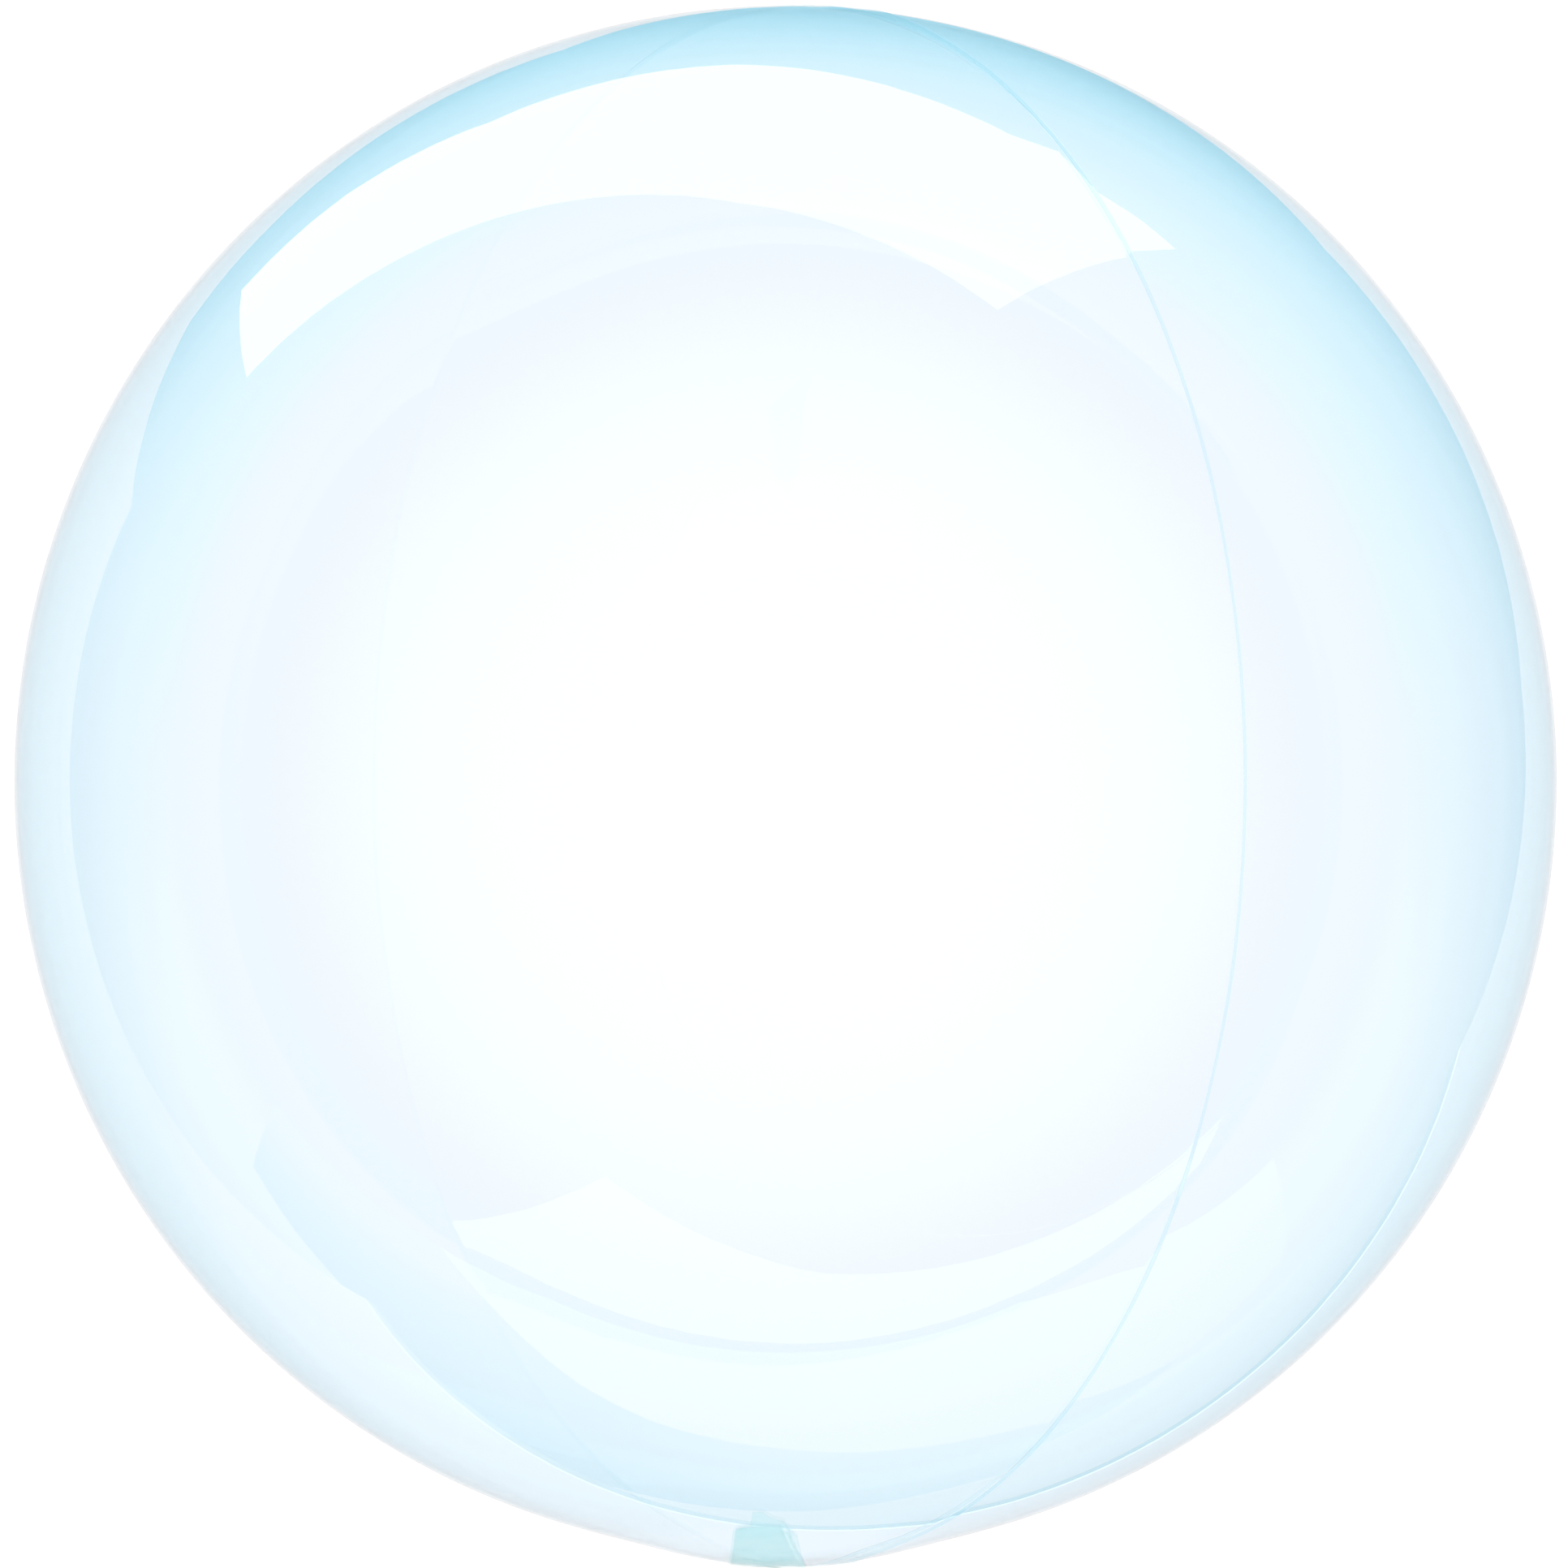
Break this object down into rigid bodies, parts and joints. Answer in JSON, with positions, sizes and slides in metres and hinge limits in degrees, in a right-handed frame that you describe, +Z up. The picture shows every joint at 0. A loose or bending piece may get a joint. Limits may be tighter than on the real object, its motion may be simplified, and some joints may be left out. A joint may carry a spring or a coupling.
{
  "type": "clear bubble balloon",
  "caption": "Sealed, air-filled ball of clear film, welded from two round panels, with a flat filler tail folded up over its foot; lies on a small flat spot.",
  "frame": {"origin": "on the resting surface, straight below the middle of the ball, inside the flat spot that it lies on", "axes": "+Z up, away from the surface it lies on and towards the picture's camera; +Y from the foot with the filler tail to the crown; +X to the picture's right"},
  "size_m": [0.5032, 0.5129, 0.5032],
  "materials": {
    "clear_film": "clear glossy stretch film with a faint blue tint",
    "valve_film": "several layers of the same film, a stronger pale blue"
  },
  "bodies": {
    "root": {"balloon_skin": "clear_film", "filler_tail": "valve_film"}
  },
  "joints": []
}
